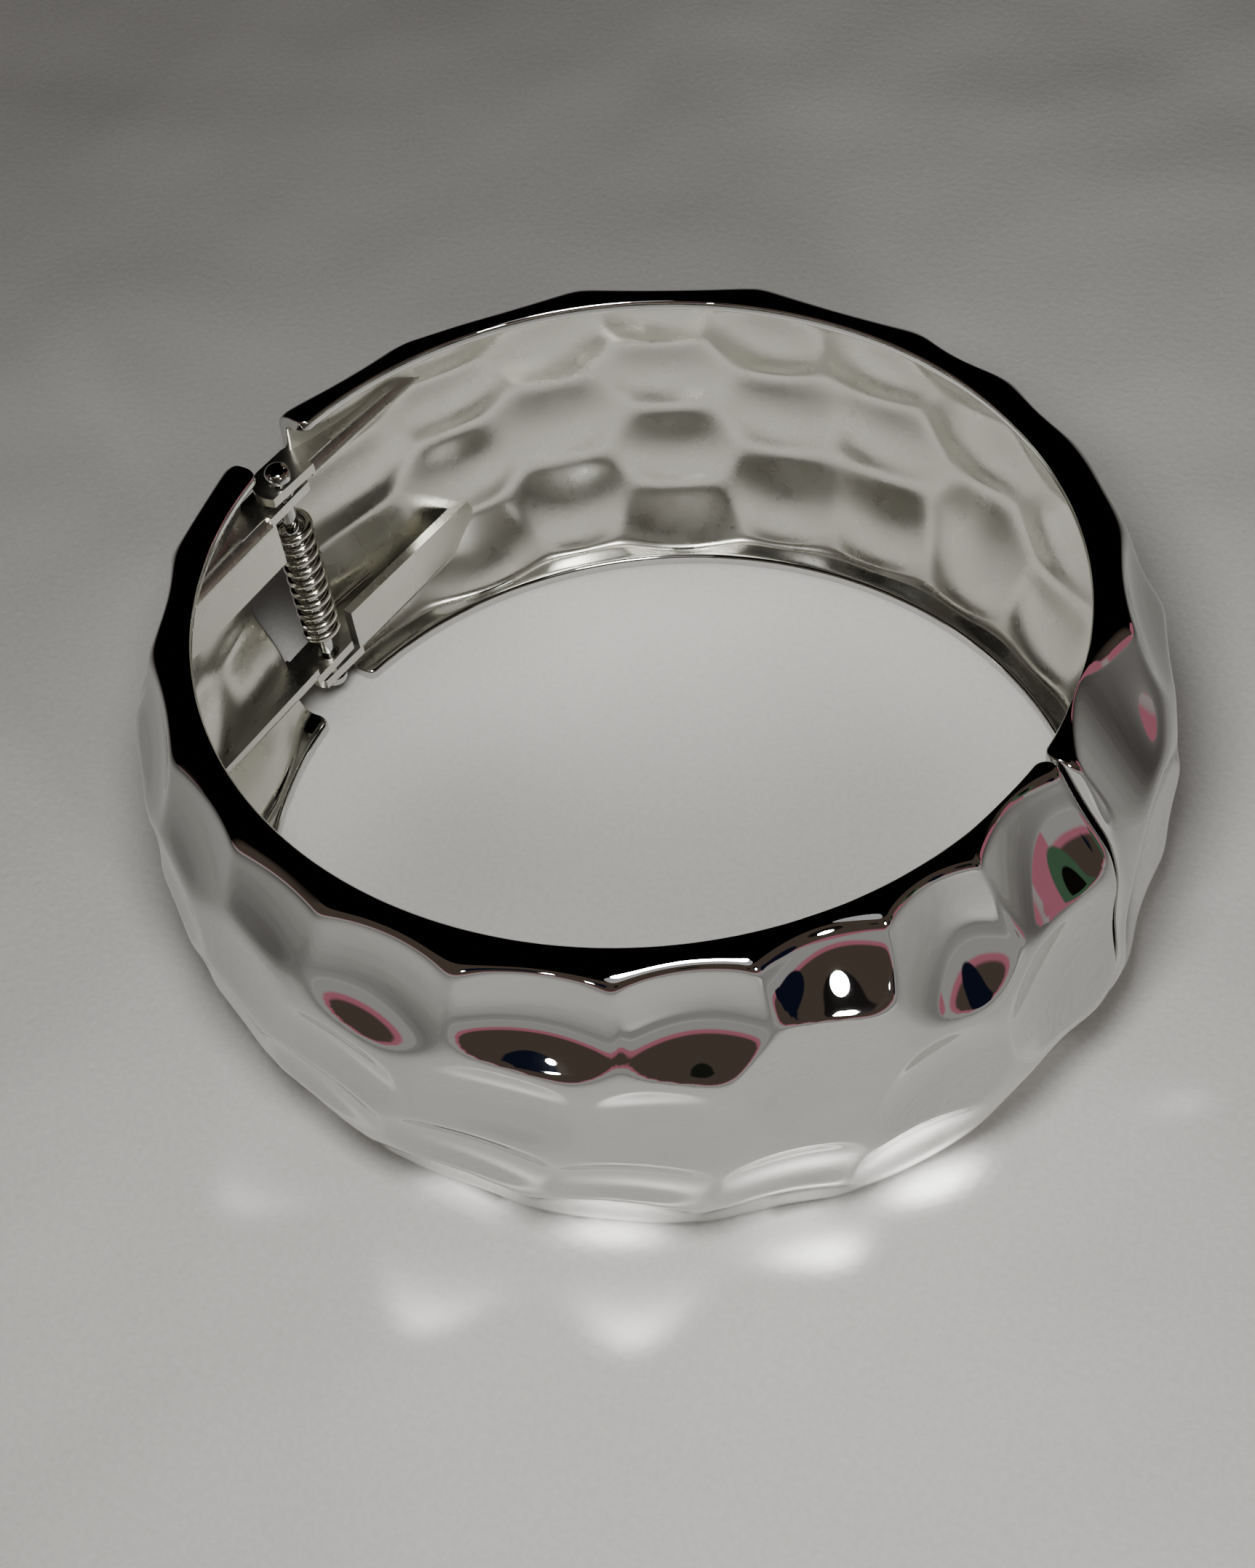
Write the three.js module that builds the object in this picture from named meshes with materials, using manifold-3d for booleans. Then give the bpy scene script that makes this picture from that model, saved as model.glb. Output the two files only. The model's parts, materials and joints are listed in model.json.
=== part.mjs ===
// A hinged bangle (openable kada) in bright plated metal, lying on its side.
// Two hammered half shells turn on a pin at one end and butt together at the other.
// Units are millimetres, +Z is up along the wrist, +X points from the hinge to the opening.
import * as THREE from 'three';
import { mergeVertices } from 'three/addons/utils/BufferGeometryUtils.js';
import Module from 'manifold-3d';

const wasm = await Module();
wasm.setup();

// ---- driving dimensions -------------------------------------------------------------------

const INNER_LENGTH = 60;        // wrist hollow from the hinge to the opening
const INNER_WIDTH = 57.2;       // wrist hollow across
const HEIGHT = 27.2;            // band height along the wrist
const RIM_WIDTH = 2.5;          // flat rim, inner edge to outer ridge line
const RIM_THICKNESS = 1;
const BARREL_BULGE = 3.6;       // how far the wall swells past the rims at mid height
const BARREL_POWER = 2.3;       // 2 is a plain arc, more is squarer
const WALL = 1;

const SEAM_GAP = 0.3;           // between the two ends at the opening
const HINGE_GAP = 5.6;          // between the two ends at the hinge
const END_ROUND = 0.9;          // rounding of the rims' ends, seen from above
const OUTER_ROUND_SHARE = 0.5;  // the outside is rounded less than the inner edge
const END_PLATE = 1.2;          // wall that closes each half at the opening

const DIMPLE_DEPTH = 1.5;       // of a dimple DIMPLE_SIZE in half width
const DIMPLE_SIZE = 5.2;
const DIMPLE_WIDTH = 0.6;       // half width as a share of the distance between stacks
const DIMPLE_TALLNESS = 0.55;   // half height as a share of the distance between dimples
const OUTER_SOFTNESS = 0.16;    // of the ridges between dimples
const INNER_SOFTNESS = 0.32;

const PIN_X = -31;              // the hinge axis stands at x = PIN_X, y = 0
const PIN_RADIUS = 0.55;
const PIN_HEAD_RADIUS = 1;
const PIN_HEAD_HEIGHT = 1;
const PIN_HOLE_RADIUS = 0.85;
const RUNNING_GAP = 0.3;

const SHEET = 0.8;              // thickness of the hinge brackets
const BACK_TILT = 3.2;          // degrees that the back bracket leans inwards about the pin
const BRACKET_FACE_X = -30;     // flat face of both brackets towards the wrist
const BRACKET_BACK_X = -33;     // outer edge of the brackets in the hinge gap
const LUG_RADIUS = 2;           // rounded end of each bracket plate round the pin
const WEB_START = 2.3;          // the webs start this far from the hinge plane
const BACK_BRACKET = { bottom: 3.6, top: 23.6, lowerWeb: 4.6, upperWeb: SHEET };
const FRONT_BRACKET = { bottom: 4.8, top: 22.4, lowerWeb: 1.5, upperWeb: 4.6 };

const WIRE_RADIUS = 0.36;
const COIL_RADIUS = 1.17;       // centre line of the spring wire
const COIL_TURNS = 10;
const COIL_BOTTOM = 7.9;
const COIL_TOP = 19.5;
const SPRING_LEG = 6.5;
const LEG_END_X = BRACKET_FACE_X - SHEET - RUNNING_GAP - WIRE_RADIUS;

// The hammered pattern: one row for each stack of dimples round the band, from the hinge
// round the front half to the opening (turn 0) and on round the back half. Lean is the degrees
// that a stack moves along the band per millimetre below its crest dimple, depth is a share of
// the usual depth, and the other columns are the heights of the stack's dimples; 0 leaves a
// dimple out.
const STACK_COLUMNS = ['turn', 'lean', 'depth', 'crest', 'upper', 'lower', 'foot'];
const STACKS = [
  [-167, -0.3, 1, 22.5, 14.5, 7, 0],
  [-151, -0.5, 1, 23.5, 16, 9, 2],
  [-133, -0.6, 0.8, 23.5, 16, 9.5, 3.5],
  [-116, -0.8, 0.75, 24.2, 16.5, 10, 4],
  [-101.5, -0.7, 0.65, 24.8, 18.1, 10.5, 4],
  [-86.5, -0.8, 0.95, 23.8, 15.7, 10.4, 4],
  [-68, -0.7, 1, 23.8, 16.9, 10.2, 4],
  [-51.5, -0.65, 1, 24, 16, 9.4, 4],
  [-36.5, -0.4, 1.05, 26, 18, 8.2, 3],
  [-22.5, -0.4, 1.15, 24, 13.2, 6, 0],
  [-8, -0.1, 1.2, 25.5, 14, 0, 0.8],
  [12, 0, 1.1, 27.5, 12.5, 2, 0],
  [31, 0, 0.9, 23.5, 16, 8.5, 2],
  [47, 0, 1, 21.5, 13, 5, 0],
  [62, 0, 1, 22, 12.5, 5, 0],
  [77, 0, 1.05, 24, 16.7, 6.4, 0],
  [92, 0, 1, 20.5, 12.5, 5, 0],
  [106.5, 0, 1, 20.5, 12.5, 5, 0],
  [120.5, 0, 1, 23, 16.4, 8.8, 2],
  [135.5, 0, 1, 21.2, 12.5, 5.2, 0],
  [150, 0, 1.1, 24.5, 18.3, 10.5, 3],
  [167, 0, 1, 22.5, 14.9, 7, 0],
];
const ROW_DEPTHS = [1, 0.8, 0.9, 0.9];   // share of the depth in each row, from the crest down

// Broad dents that only cut into the top rim of the back half.
const RIM_DENT_COLUMNS = ['turn', 'halfWidth', 'depth'];
const RIM_DENTS = [
  [94, 8, 1.1],
  [118, 8, 1.1],
  [142, 8, 1.1],
  [163, 6.5, 1],
];
const RIM_DENT_HEIGHT = 28.2;
const RIM_DENT_REACH = 5;       // half height

// Mesh fineness of the shells
const RING_STEP = 3;            // degrees
const OUTER_ROWS = 12;
const INNER_ROWS = 8;

// ---- the band's form ----------------------------------------------------------------------

const MEAN_RADIUS = (INNER_LENGTH + INNER_WIDTH) / 4 + RIM_WIDTH + BARREL_BULGE;
const degrees = THREE.MathUtils.degToRad;

// Smallest distance between two directions, along the band's outside.
function arcBetween(turnA, turnB) {
  const difference = THREE.MathUtils.euclideanModulo(turnA - turnB + 180, 360) - 180;
  return degrees(difference) * MEAN_RADIUS;
}

// Half width of a stack from the distance to the stacks on both sides of it.
function stackHalfWidth(index) {
  const count = STACKS.length;
  const before = STACKS[(index + count - 1) % count][0];
  const after = STACKS[(index + 1) % count][0];
  const span = Math.abs(arcBetween(after, STACKS[index][0]) - arcBetween(before, STACKS[index][0]));
  return DIMPLE_WIDTH * span / 2;
}

// Half height of a dimple from the distances to those above and below it.
function dimpleHalfHeight(heights, index) {
  const gaps = [];
  if (index > 0) gaps.push(heights[index - 1] - heights[index]);
  if (index < heights.length - 1) gaps.push(heights[index] - heights[index + 1]);
  const mean = gaps.reduce((sum, gap) => sum + gap, 0) / gaps.length;
  return DIMPLE_TALLNESS * mean;
}

function chartDimples() {
  const dimples = [];
  STACKS.forEach((row, index) => {
    const [turn, lean, share, ...column] = row;
    const halfWidth = stackHalfWidth(index);
    const heights = column.filter((height) => height > 0);
    heights.forEach((height, place) => {
      const halfHeight = dimpleHalfHeight(heights, place);
      const size = Math.sqrt(halfWidth * halfHeight);
      dimples.push({
        turn: turn + lean * (heights[0] - height),
        height,
        halfWidth,
        halfHeight,
        depth: DIMPLE_DEPTH * share * ROW_DEPTHS[place] * size / DIMPLE_SIZE,
      });
    });
  });
  for (const [turn, halfWidth, depth] of RIM_DENTS) {
    dimples.push({ turn, height: RIM_DENT_HEIGHT, halfWidth, halfHeight: RIM_DENT_REACH, depth });
  }
  return dimples;
}

const DIMPLES = chartDimples();

// How deep the hammering goes at a direction (degrees) and height: overlapping round dimples
// with soft ridges between them.
function hammering(turn, height, softness) {
  let sum = 1;
  for (const dimple of DIMPLES) {
    const across = arcBetween(turn, dimple.turn) / dimple.halfWidth;
    const along = (height - dimple.height) / dimple.halfHeight;
    const cap = dimple.depth * (1 - across * across - along * along);
    sum += Math.exp(cap / softness);
  }
  return softness * Math.log(sum);
}

// Distance of the outer surface from the rim's inner edge.
function outerOffset(turn, height, softness = OUTER_SOFTNESS) {
  const level = Math.abs(2 * height / HEIGHT - 1);
  const barrel = BARREL_BULGE * (1 - level ** BARREL_POWER);
  return RIM_WIDTH + barrel - hammering(turn, height, softness);
}

// The same for the inner surface of the wall, whose bumps are rounder than the dimples.
const innerOffset = (turn, height) => outerOffset(turn, height, INNER_SOFTNESS) - WALL;

// A point at a distance outside the rim's inner edge, which is an ellipse.
function bandPoint(turn, offset, height) {
  const a = INNER_LENGTH / 2;
  const b = INNER_WIDTH / 2;
  const angle = degrees(turn);
  const normal = new THREE.Vector2(b * Math.cos(angle), a * Math.sin(angle)).normalize();
  const x = a * Math.cos(angle) + normal.x * offset;
  const y = b * Math.sin(angle) + normal.y * offset;
  return [x, y, height];
}

// The direction at which the rim's inner edge, moved out by offset, stands y from the X axis.
function turnAtSide(side, y, offset, atHinge) {
  const reach = INNER_WIDTH / 2 + offset;
  const small = THREE.MathUtils.radToDeg(Math.asin(y / reach));
  return atHinge ? side * (180 - small) : side * small;
}

// ---- solids -------------------------------------------------------------------------------

function solidFrom(geometry) {
  const bare = geometry.clone();
  bare.deleteAttribute('normal');
  bare.deleteAttribute('uv');
  const welded = mergeVertices(bare, 1e-5);
  const mesh = new wasm.Mesh({
    numProp: 3,
    vertProperties: new Float32Array(welded.attributes.position.array),
    triVerts: new Uint32Array(welded.index.array),
  });
  return new wasm.Manifold(mesh);
}

function geometryFrom(solid) {
  const mesh = solid.getMesh();
  const geometry = new THREE.BufferGeometry();
  geometry.setAttribute('position', new THREE.BufferAttribute(mesh.vertProperties, 3));
  geometry.setIndex(new THREE.BufferAttribute(mesh.triVerts, 1));
  const faceted = geometry.toNonIndexed();
  faceted.computeVertexNormals();
  return faceted;
}

// A closed solid through sections of equal length at rising turns, with both ends capped.
function loft(turns, sections) {
  const count = sections[0].length;
  const last = sections.length - 1;
  const indices = [];
  for (let ring = 0; ring < last; ring += 1) {
    for (let i = 0; i < count; i += 1) {
      const a = ring * count + i;
      const b = ring * count + (i + 1) % count;
      indices.push(a, a + count, b, b, a + count, b + count);
    }
  }
  const flatten = (ring) => {
    const angle = degrees(turns[ring]);
    return sections[ring].map(([x, y, z]) =>
      new THREE.Vector2(x * Math.cos(angle) + y * Math.sin(angle), z));
  };
  for (const ring of [0, last]) {
    const base = ring * count;
    for (const [p, q, r] of THREE.ShapeUtils.triangulateShape(flatten(ring), [])) {
      if (ring === 0) indices.push(base + p, base + q, base + r);
      else indices.push(base + p, base + r, base + q);
    }
  }
  const geometry = new THREE.BufferGeometry();
  geometry.setAttribute('position', new THREE.Float32BufferAttribute(sections.flat(2), 3));
  geometry.setIndex(indices);
  return geometry;
}

const degreesAlong = (length) => THREE.MathUtils.radToDeg(length / MEAN_RADIUS);

const steps = (from, to, count) =>
  Array.from({ length: count + 1 }, (_, i) => from + (to - from) * i / count);

// Directions of the rings from one end to the other, closer together at both rounded ends.
function ringTurns(from, to) {
  const sense = Math.sign(to - from);
  const near = [0, 0.12, 0.45, 1].map((share) => degreesAlong(END_ROUND * share));
  const start = from + sense * near.at(-1);
  const stop = to - sense * near.at(-1);
  const count = Math.round(Math.abs(stop - start) / RING_STEP);
  return [
    ...near.slice(0, -1).map((turn) => from + sense * turn),
    ...steps(start, stop, count),
    ...near.slice(0, -1).reverse().map((turn) => to - sense * turn),
  ];
}

// How far a rounded end draws in at a distance from the end face.
function endInset(distance) {
  if (distance >= END_ROUND) return 0;
  const rest = END_ROUND - distance;
  return END_ROUND - Math.sqrt(END_ROUND ** 2 - rest ** 2);
}

// One section of the shell: an open channel that faces the wrist.
function shellSection(turn, inset) {
  const outside = steps(0, HEIGHT, OUTER_ROWS)
    .map((z) => bandPoint(turn, outerOffset(turn, z) - OUTER_ROUND_SHARE * inset, z));
  const inside = steps(HEIGHT - RIM_THICKNESS, RIM_THICKNESS, INNER_ROWS)
    .map((z) => bandPoint(turn, innerOffset(turn, z), z));
  return [
    ...outside,
    bandPoint(turn, inset, HEIGHT),
    bandPoint(turn, inset, HEIGHT - RIM_THICKNESS),
    ...inside,
    bandPoint(turn, inset, RIM_THICKNESS),
    bandPoint(turn, inset, 0),
  ];
}

// The same outline filled in, for the plate that closes an end.
function filledSection(turn, inset) {
  const outside = steps(0, HEIGHT, OUTER_ROWS)
    .map((z) => bandPoint(turn, outerOffset(turn, z) - OUTER_ROUND_SHARE * inset, z));
  return [...outside, bandPoint(turn, inset, HEIGHT), bandPoint(turn, inset, 0)];
}

// Everything within the middle of the wall, for trimming what is soldered to it.
function trimmingSection(turn) {
  const reach = -INNER_WIDTH / 4;
  const outside = steps(0, HEIGHT, OUTER_ROWS)
    .map((z) => bandPoint(turn, outerOffset(turn, z) - WALL / 2, z));
  return [...outside, bandPoint(turn, reach, HEIGHT), bandPoint(turn, reach, 0)];
}

function sweep(turns, section) {
  const rising = [...turns].sort((a, b) => a - b);
  return solidFrom(loft(rising, rising.map(section)));
}

// ---- the two half shells ------------------------------------------------------------------

function shell(side) {
  const opening = turnAtSide(side, SEAM_GAP / 2, RIM_WIDTH, false);
  const hinge = turnAtSide(side, HINGE_GAP / 2, RIM_WIDTH, true);
  const distance = (turn) => Math.min(
    Math.abs(arcBetween(turn, opening)),
    Math.abs(arcBetween(turn, hinge)),
  );
  const turns = ringTurns(opening, hinge);
  const channel = sweep(turns, (turn) => shellSection(turn, endInset(distance(turn))));
  const plateEnd = opening + side * degreesAlong(END_PLATE);
  const plateTurns = [...turns.filter((turn) => Math.abs(turn) < Math.abs(plateEnd)), plateEnd];
  const plate = sweep(plateTurns, (turn) => filledSection(turn, endInset(distance(turn))));
  return channel.add(plate);
}

// ---- the hinge brackets -------------------------------------------------------------------

function extruded(outline, bottom, top) {
  const geometry = new THREE.ExtrudeGeometry(outline, {
    depth: top - bottom, bevelEnabled: false, curveSegments: 12,
  });
  geometry.translate(0, 0, bottom);
  return solidFrom(geometry);
}

// A plate that runs from the wall to a rounded lug round the pin.
function plateOutline(side) {
  const far = side * INNER_WIDTH * 0.4;
  const wallEnd = side * (HINGE_GAP / 2 + 0.3);
  const outer = PIN_X - RIM_WIDTH - BARREL_BULGE;
  const lugAngle = Math.acos((BRACKET_FACE_X - PIN_X) / LUG_RADIUS);
  const outline = new THREE.Shape();
  outline.moveTo(BRACKET_FACE_X, far);
  outline.lineTo(outer, far);
  outline.lineTo(outer, wallEnd);
  outline.lineTo(BRACKET_BACK_X, wallEnd);
  outline.lineTo(PIN_X - LUG_RADIUS, 0);
  outline.absarc(PIN_X, 0, LUG_RADIUS, Math.PI, -side * lugAngle, side < 0);
  outline.closePath();
  return outline;
}

function webOutline(side, start) {
  const far = side * INNER_WIDTH * 0.4;
  const outline = new THREE.Shape();
  outline.moveTo(BRACKET_FACE_X, start);
  outline.lineTo(BRACKET_FACE_X - SHEET, start);
  outline.lineTo(BRACKET_FACE_X - SHEET, far);
  outline.lineTo(BRACKET_FACE_X, far);
  outline.closePath();
  return outline;
}

// Two plates with holes for the pin, each folded over along its edge towards the wrist.
function bracket(side, sizes) {
  const { bottom, top, lowerWeb, upperWeb } = sizes;
  const plate = plateOutline(side);
  const web = webOutline(side, side * WEB_START);
  let body = extruded(plate, bottom, bottom + SHEET)
    .add(extruded(plate, top - SHEET, top))
    .add(extruded(web, bottom, bottom + lowerWeb))
    .add(extruded(web, top - upperWeb, top));
  if (side > 0) body = body.translate(-PIN_X, 0, 0).rotate(0, 0, -BACK_TILT).translate(PIN_X, 0, 0);
  const trimTurns = steps(side * 100, side * 190, 44);
  const hole = new THREE.CylinderGeometry(PIN_HOLE_RADIUS, PIN_HOLE_RADIUS, 2 * HEIGHT, 14);
  hole.rotateX(Math.PI / 2);
  hole.translate(PIN_X, 0, HEIGHT / 2);
  return body.intersect(sweep(trimTurns, trimmingSection)).subtract(solidFrom(hole));
}

function half(side, sizes) {
  return geometryFrom(shell(side).add(bracket(side, sizes)));
}

// ---- pin and spring -----------------------------------------------------------------------

function pinGeometry() {
  const low = BACK_BRACKET.bottom - RUNNING_GAP;
  const high = BACK_BRACKET.top + RUNNING_GAP;
  const outline = [
    [0, low - PIN_HEAD_HEIGHT],
    [PIN_HEAD_RADIUS * 0.7, low - PIN_HEAD_HEIGHT * 0.8],
    [PIN_HEAD_RADIUS, low - PIN_HEAD_HEIGHT * 0.3],
    [PIN_HEAD_RADIUS, low],
    [PIN_RADIUS, low],
    [PIN_RADIUS, high],
    [PIN_HEAD_RADIUS, high],
    [PIN_HEAD_RADIUS, high + PIN_HEAD_HEIGHT * 0.3],
    [PIN_HEAD_RADIUS * 0.7, high + PIN_HEAD_HEIGHT * 0.8],
    [0, high + PIN_HEAD_HEIGHT],
  ].map(([radius, height]) => new THREE.Vector2(radius, height));
  const geometry = new THREE.LatheGeometry(outline, 14);
  geometry.rotateX(Math.PI / 2);
  return geometry;
}

// The spring wire: a leg from the back bracket's web, the coil, a leg to the front one's web.
// It is built round the hinge axis.
class SpringWire extends THREE.Curve {
  getPoint(share) {
    const coilLength = 2 * Math.PI * COIL_RADIUS * COIL_TURNS;
    const along = share * (coilLength + 2 * SPRING_LEG) - SPRING_LEG;
    const legEnd = LEG_END_X - PIN_X;
    if (along < 0) {
      const out = -along / SPRING_LEG;
      return new THREE.Vector3(
        THREE.MathUtils.lerp(-COIL_RADIUS, legEnd, out), -along, COIL_BOTTOM);
    }
    if (along > coilLength) {
      const out = (along - coilLength) / SPRING_LEG;
      return new THREE.Vector3(
        THREE.MathUtils.lerp(-COIL_RADIUS, legEnd, out), coilLength - along, COIL_TOP);
    }
    const wound = along / coilLength;
    const angle = Math.PI + wound * 2 * Math.PI * COIL_TURNS;
    const height = THREE.MathUtils.lerp(COIL_BOTTOM, COIL_TOP, wound);
    return new THREE.Vector3(COIL_RADIUS * Math.cos(angle), COIL_RADIUS * Math.sin(angle), height);
  }
}

function springGeometry() {
  const wire = new THREE.Shape();
  wire.absarc(0, 0, WIRE_RADIUS, 0, 2 * Math.PI, false);
  return new THREE.ExtrudeGeometry(wire, {
    steps: 12 * COIL_TURNS + 8,
    curveSegments: 3,
    extrudePath: new SpringWire(),
  });
}

// ---- the bangle ---------------------------------------------------------------------------

const brightPlate = new THREE.MeshStandardMaterial({
  color: 0xd9d8d6, roughness: 0.08, metalness: 1,
});
const springSteel = new THREE.MeshStandardMaterial({
  color: 0xc4c0b6, roughness: 0.25, metalness: 1,
});

function named(name, geometry, material) {
  const mesh = new THREE.Mesh(geometry, material);
  mesh.name = name;
  return mesh;
}

const bangle = new THREE.Group();
bangle.add(named('back_half', half(1, BACK_BRACKET), brightPlate));
bangle.add(named('front_half', half(-1, FRONT_BRACKET), brightPlate.clone()));

const hinge = new THREE.Group();
hinge.position.x = PIN_X;
hinge.add(named('hinge_pin', pinGeometry(), brightPlate.clone()));
hinge.add(named('hinge_spring', springGeometry(), springSteel));
bangle.add(hinge);

export default bangle;
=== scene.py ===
"""A hinged bangle (openable kada) in bright plated metal, lying on its side on a pale floor.

Everything is in metres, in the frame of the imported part: +Z up along the wrist, +X from the
hinge to the opening. Directions round the band are called turns, in degrees: 0 is the opening,
180 the hinge, negative turns are the front half and positive ones the back half.
"""

import json
import math
from functools import cache

import bmesh
import bpy
import numpy as np
from mathutils import Matrix, Vector


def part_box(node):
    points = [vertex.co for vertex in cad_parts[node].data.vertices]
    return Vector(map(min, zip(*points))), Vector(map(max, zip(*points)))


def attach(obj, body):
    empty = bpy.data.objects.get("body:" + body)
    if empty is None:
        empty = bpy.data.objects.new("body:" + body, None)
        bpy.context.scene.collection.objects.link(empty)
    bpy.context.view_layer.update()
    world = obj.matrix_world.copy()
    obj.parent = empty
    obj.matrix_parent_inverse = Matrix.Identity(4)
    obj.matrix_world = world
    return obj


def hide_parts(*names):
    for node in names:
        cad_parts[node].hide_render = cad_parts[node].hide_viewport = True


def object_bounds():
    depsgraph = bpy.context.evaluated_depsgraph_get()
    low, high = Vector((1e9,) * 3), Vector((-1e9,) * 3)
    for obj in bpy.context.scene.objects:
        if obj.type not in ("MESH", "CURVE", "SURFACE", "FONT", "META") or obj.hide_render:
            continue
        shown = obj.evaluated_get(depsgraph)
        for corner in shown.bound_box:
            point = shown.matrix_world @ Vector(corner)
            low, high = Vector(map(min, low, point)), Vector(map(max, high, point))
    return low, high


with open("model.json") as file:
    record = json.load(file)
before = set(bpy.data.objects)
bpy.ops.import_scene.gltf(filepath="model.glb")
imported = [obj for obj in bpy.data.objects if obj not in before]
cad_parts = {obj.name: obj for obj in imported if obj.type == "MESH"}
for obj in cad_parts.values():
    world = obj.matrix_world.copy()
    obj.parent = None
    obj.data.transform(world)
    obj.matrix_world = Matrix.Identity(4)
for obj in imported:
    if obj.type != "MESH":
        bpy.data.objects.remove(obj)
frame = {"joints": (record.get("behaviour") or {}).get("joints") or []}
CAD_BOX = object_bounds()

# ---- sizes --------------------------------------------------------------------------------

MM = 0.001

INNER_LENGTH = 60 * MM  # wrist hollow from the hinge to the opening
INNER_WIDTH = 57.2 * MM  # wrist hollow across
HEIGHT = CAD_BOX[1].z  # band height along the wrist
RIM_WIDTH = 2.5 * MM  # flat rim, inner edge to outer ridge line
RIM_THICKNESS = 1 * MM
BARREL_BULGE = 3.6 * MM  # how far the wall swells past the rims at mid height
BARREL_POWER = 2.3  # 2 is a plain arc, more is squarer
WALL = 1 * MM

SEAM_GAP = 0.3 * MM  # between the two ends at the opening
HINGE_GAP = 5.6 * MM  # between the two ends at the hinge
END_ROUND = 0.9 * MM  # rounding of the rims' ends, seen from above
OUTER_ROUND_SHARE = 0.5  # the outside is rounded less than the inner edge
END_PLATE = 1.2 * MM  # wall that closes each half at the opening
END_EDGE = 0.16 * MM  # edge rounding of the end faces
OUTER_FILLET = 1.05 * MM  # where the rims roll over into the wall
LIP_FILLET = 0.4 * MM  # at the rims' inner edges
CORNER_FILLET = 0.5 * MM  # where the rims meet the wall inside

DIMPLE_DEPTH = 1.5 * MM  # of a dimple DIMPLE_SIZE in half width
DIMPLE_SIZE = 5.2 * MM
DIMPLE_WIDTH = 0.6  # half width as a share of the distance between stacks
DIMPLE_TALLNESS = 0.55  # half height as a share of the distance between dimples of a stack
OUTER_SOFTNESS = 0.16 * MM  # of the ridges between dimples
INNER_SOFTNESS = 0.3 * MM

hinge_joint = next(joint for joint in frame["joints"] if joint["name"] == "bangle_hinge")
PIN_X = hinge_joint["pos_m"][0]
pin_low, pin_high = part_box("hinge_pin")
spring_low, spring_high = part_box("hinge_spring")
PIN_RADIUS = 0.55 * MM
PIN_HEAD_RADIUS = (pin_high.x - pin_low.x) / 2
PIN_HEAD_HEIGHT = 1 * MM
PIN_HOLE_RADIUS = 0.85 * MM
RUNNING_GAP = 0.3 * MM

SHEET = 0.8 * MM  # thickness of the hinge brackets
BACK_TILT = 3.2  # degrees that the back bracket leans into the wrist hollow, about the pin
FOLD_RADIUS = 1 * MM  # outside of the bends in the brackets
BRACKET_EDGE = 0.12 * MM
BRACKET_FACE_X = PIN_X + 1 * MM  # flat face of both brackets towards the wrist
BRACKET_BACK_X = PIN_X - 2 * MM  # outer edge of the brackets in the hinge gap
LUG_RADIUS = 2 * MM  # rounded end of each bracket plate round the pin
WEB_START = 2.3 * MM  # the webs start this far from the hinge plane
BACK_BRACKET = {"bottom": 3.6 * MM, "top": 23.6 * MM, "lower_web": 4.6 * MM, "upper_web": SHEET}
FRONT_BRACKET = {"bottom": 4.8 * MM, "top": 22.4 * MM, "lower_web": 1.5 * MM, "upper_web": 4.6 * MM}

WIRE_RADIUS = 0.36 * MM
COIL_RADIUS = 1.17 * MM  # centre line of the spring wire
COIL_TURNS = 10
COIL_BOTTOM = spring_low.z + WIRE_RADIUS
COIL_TOP = spring_high.z - WIRE_RADIUS
SPRING_LEG = 6.5 * MM
LEG_END_X = BRACKET_FACE_X - SHEET - RUNNING_GAP - WIRE_RADIUS

# The hammered pattern: one row for each stack of dimples round the band. Lean is the degrees
# that a stack moves along the band per millimetre below its crest dimple, depth is a share of
# the usual depth, and the other columns are the heights of the dimples in millimetres, where 0
# leaves a dimple out.
STACKS = (
    # turn, lean, depth, crest, upper, lower, foot
    (-167, -0.3, 1, 22.5, 14.5, 7, 0),
    (-151, -0.5, 1, 23.5, 16, 9, 2),
    (-133, -0.6, 0.8, 23.5, 16, 9.5, 3.5),
    (-116, -0.8, 0.75, 24.2, 16.5, 10, 4),
    (-101.5, -0.7, 0.65, 24.8, 18.1, 10.5, 4),
    (-86.5, -0.8, 0.95, 23.8, 15.7, 10.4, 4),
    (-68, -0.7, 1, 23.8, 16.9, 10.2, 4),
    (-51.5, -0.65, 1, 24, 16, 9.4, 4),
    (-36.5, -0.4, 1.05, 26, 18, 8.2, 3),
    (-22.5, -0.4, 1.15, 24, 13.2, 6, 0),
    (-8, -0.1, 1.2, 25.5, 14, 0, 0.8),
    (12, 0, 1.1, 27.5, 12.5, 2, 0),
    (31, 0, 0.9, 23.5, 16, 8.5, 2),
    (47, 0, 1, 21.5, 13, 5, 0),
    (62, 0, 1, 22, 12.5, 5, 0),
    (77, 0, 1.05, 24, 16.7, 6.4, 0),
    (92, 0, 1, 20.5, 12.5, 5, 0),
    (106.5, 0, 1, 20.5, 12.5, 5, 0),
    (120.5, 0, 1, 23, 16.4, 8.8, 2),
    (135.5, 0, 1, 21.2, 12.5, 5.2, 0),
    (150, 0, 1.1, 24.5, 18.3, 10.5, 3),
    (167, 0, 1, 22.5, 14.9, 7, 0),
)
ROW_DEPTHS = (1, 0.8, 0.9, 0.9)  # share of the depth in each row of dimples, from the crest down

# Broad dents that only cut into the top rim of the back half, in degrees and millimetres
RIM_DENTS = (
    # turn, half width, depth
    (94, 8, 1.1),
    (118, 8, 1.1),
    (142, 8, 1.1),
    (163, 6.5, 1),
)
RIM_DENT_HEIGHT = 28.2 * MM
RIM_DENT_REACH = 5 * MM  # half height

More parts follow.
